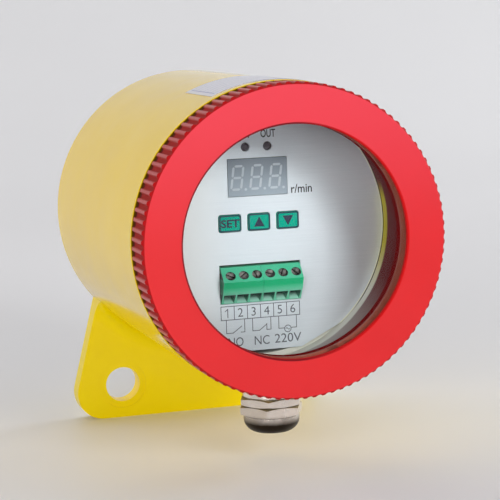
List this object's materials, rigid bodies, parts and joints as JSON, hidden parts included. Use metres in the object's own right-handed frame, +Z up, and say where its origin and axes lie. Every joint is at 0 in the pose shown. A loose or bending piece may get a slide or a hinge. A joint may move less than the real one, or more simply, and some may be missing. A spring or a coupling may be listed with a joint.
{
  "type": "speed monitoring switch",
  "caption": "Round yellow housing with a screwed red cover ring, glass window over a display, keys and screw terminals, a cable gland below and a two-hole foot plate.",
  "frame": {"origin": "under the middle of the part, on the plane of the foot plate's bottom edge", "axes": "+X to the right seen from the front, the window faces -Y and the back with the sensing face faces +Y, +Z up from the foot plate"},
  "size_m": [0.11, 0.139, 0.1402],
  "materials": {
    "yellow_paint": "die-cast, glossy yellow powder coat",
    "red_paint": "turned, glossy red powder coat",
    "label_foil": "satin foil, blank",
    "black_plastic": "moulded",
    "seal_rubber": "matt",
    "clear_glass": "polished",
    "silicone": "satin",
    "panel_silver": "fine brushed, printed",
    "board_green": "solder mask",
    "screw_steel": "zinc plated",
    "display_grey": "smoked face",
    "segment_grey": "unlit",
    "led_lens": "smoked lens",
    "key_teal": "satin",
    "switch_black": "moulded",
    "terminal_green": "moulded",
    "clamp_metal": "tin plated",
    "brass": "turned",
    "core_steel": "laminated",
    "copper": "enamelled wire",
    "relay_case": "moulded",
    "capacitor_sleeve": "shrink sleeve",
    "varistor_blue": "epoxy dipped",
    "chip_black": "moulded",
    "lead_black": "cable jacket",
    "ferrite": "sintered",
    "nickel": "nickel plated, bright",
    "nylon_white": "moulded"
  },
  "bodies": {
    "body": {"housing": "yellow_paint", "foot_plate": "yellow_paint", "nameplate": "label_foil", "rear_cap": "black_plastic", "cover_oring": "seal_rubber", "faceplate": "panel_silver", "main_pcb": "board_green", "pcb_screws": "screw_steel", "display_module": "display_grey", "display_segments": "segment_grey", "led_left": "led_lens", "led_right": "led_lens", "switch_set": "switch_black", "switch_up": "switch_black", "switch_down": "switch_black", "terminal_block_left": "terminal_green", "terminal_block_right": "terminal_green", "terminal_pins": "clamp_metal", "transformer_core": "core_steel", "transformer_winding": "copper", "relay": "relay_case", "filter_capacitors": "capacitor_sleeve", "varistor": "varistor_blue", "microcontroller": "chip_black", "sensor_lead": "lead_black", "sensor_pcb": "board_green", "sensor_standoffs": "brass", "sensor_bobbin": "switch_black", "sensor_coil": "copper", "sensor_ferrite": "ferrite", "gland_washer": "nylon_white", "gland_body": "nickel", "gland_claw": "nylon_white"},
    "window": {"window_glass": "clear_glass", "window_gasket": "silicone"},
    "cover_ring": {"bezel_ring": "red_paint", "glass_retainer": "red_paint"},
    "key_set": {"key_set": "key_teal"},
    "key_up": {"key_up": "key_teal"},
    "key_down": {"key_down": "key_teal"},
    "screw_1": {"terminal_screw_1": "screw_steel"},
    "screw_2": {"terminal_screw_2": "screw_steel"},
    "screw_3": {"terminal_screw_3": "screw_steel"},
    "screw_4": {"terminal_screw_4": "screw_steel"},
    "screw_5": {"terminal_screw_5": "screw_steel"},
    "screw_6": {"terminal_screw_6": "screw_steel"},
    "clamp_1": {"wire_clamp_1": "clamp_metal"},
    "clamp_2": {"wire_clamp_2": "clamp_metal"},
    "clamp_3": {"wire_clamp_3": "clamp_metal"},
    "clamp_4": {"wire_clamp_4": "clamp_metal"},
    "clamp_5": {"wire_clamp_5": "clamp_metal"},
    "clamp_6": {"wire_clamp_6": "clamp_metal"},
    "seal": {"gland_seal": "seal_rubber"},
    "nut": {"gland_nut": "nickel"}
  },
  "joints": [
    {"name": "window_lift", "type": "slide", "parent": "body", "child": "window", "axis": [0, -1, 0], "range_m": [0, 0.006]},
    {"name": "cover_ring_turn", "type": "hinge", "parent": "window", "child": "cover_ring", "pos_m": [0, -0.0695, 0.085], "axis": [0, -1, 0], "range_deg": [0, 1440]},
    {"name": "key_set_press", "type": "slide", "parent": "body", "child": "key_set", "axis": [0, 1, 0], "range_m": [0, 0.0004], "stiffness_N_per_m": 1000},
    {"name": "key_up_press", "type": "slide", "parent": "body", "child": "key_up", "axis": [0, 1, 0], "range_m": [0, 0.0004], "stiffness_N_per_m": 1000},
    {"name": "key_down_press", "type": "slide", "parent": "body", "child": "key_down", "axis": [0, 1, 0], "range_m": [0, 0.0004], "stiffness_N_per_m": 1000},
    {"name": "screw_1_turn", "type": "hinge", "parent": "body", "child": "screw_1", "pos_m": [-0.0121, -0.0275, 0.0686], "axis": [0, 1, 0], "range_deg": [0, 1440]},
    {"name": "screw_2_turn", "type": "hinge", "parent": "body", "child": "screw_2", "pos_m": [-0.0071, -0.0275, 0.0686], "axis": [0, 1, 0], "range_deg": [0, 1440]},
    {"name": "screw_3_turn", "type": "hinge", "parent": "body", "child": "screw_3", "pos_m": [-0.0021, -0.0275, 0.0686], "axis": [0, 1, 0], "range_deg": [0, 1440]},
    {"name": "screw_4_turn", "type": "hinge", "parent": "body", "child": "screw_4", "pos_m": [0.0029, -0.0275, 0.0686], "axis": [0, 1, 0], "range_deg": [0, 1440]},
    {"name": "screw_5_turn", "type": "hinge", "parent": "body", "child": "screw_5", "pos_m": [0.0079, -0.0275, 0.0686], "axis": [0, 1, 0], "range_deg": [0, 1440]},
    {"name": "screw_6_turn", "type": "hinge", "parent": "body", "child": "screw_6", "pos_m": [0.0129, -0.0275, 0.0686], "axis": [0, 1, 0], "range_deg": [0, 1440]},
    {"name": "clamp_1_lift", "type": "slide", "parent": "body", "child": "clamp_1", "axis": [0, -1, 0], "range_m": [0, 0.002]},
    {"name": "clamp_2_lift", "type": "slide", "parent": "body", "child": "clamp_2", "axis": [0, -1, 0], "range_m": [0, 0.002]},
    {"name": "clamp_3_lift", "type": "slide", "parent": "body", "child": "clamp_3", "axis": [0, -1, 0], "range_m": [0, 0.002]},
    {"name": "clamp_4_lift", "type": "slide", "parent": "body", "child": "clamp_4", "axis": [0, -1, 0], "range_m": [0, 0.002]},
    {"name": "clamp_5_lift", "type": "slide", "parent": "body", "child": "clamp_5", "axis": [0, -1, 0], "range_m": [0, 0.002]},
    {"name": "clamp_6_lift", "type": "slide", "parent": "body", "child": "clamp_6", "axis": [0, -1, 0], "range_m": [0, 0.002]},
    {"name": "seal_drop", "type": "slide", "parent": "body", "child": "seal", "axis": [0, 0, -1], "range_m": [0, 0.006]},
    {"name": "nut_turn", "type": "hinge", "parent": "seal", "child": "nut", "pos_m": [0, -0.0345, 0.0203], "axis": [0, 0, -1], "range_deg": [0, 1440]}
  ],
  "couplings": [
    {"joint": "window_lift", "follows": "cover_ring_turn", "m_per_rad": 0.00023873},
    {"joint": "screw_1_turn", "follows": "clamp_1_lift", "rad_per_m": 12566},
    {"joint": "screw_2_turn", "follows": "clamp_2_lift", "rad_per_m": 12566},
    {"joint": "screw_3_turn", "follows": "clamp_3_lift", "rad_per_m": 12566},
    {"joint": "screw_4_turn", "follows": "clamp_4_lift", "rad_per_m": 12566},
    {"joint": "screw_5_turn", "follows": "clamp_5_lift", "rad_per_m": 12566},
    {"joint": "screw_6_turn", "follows": "clamp_6_lift", "rad_per_m": 12566},
    {"joint": "nut_turn", "follows": "seal_drop", "rad_per_m": 4188.7}
  ]
}
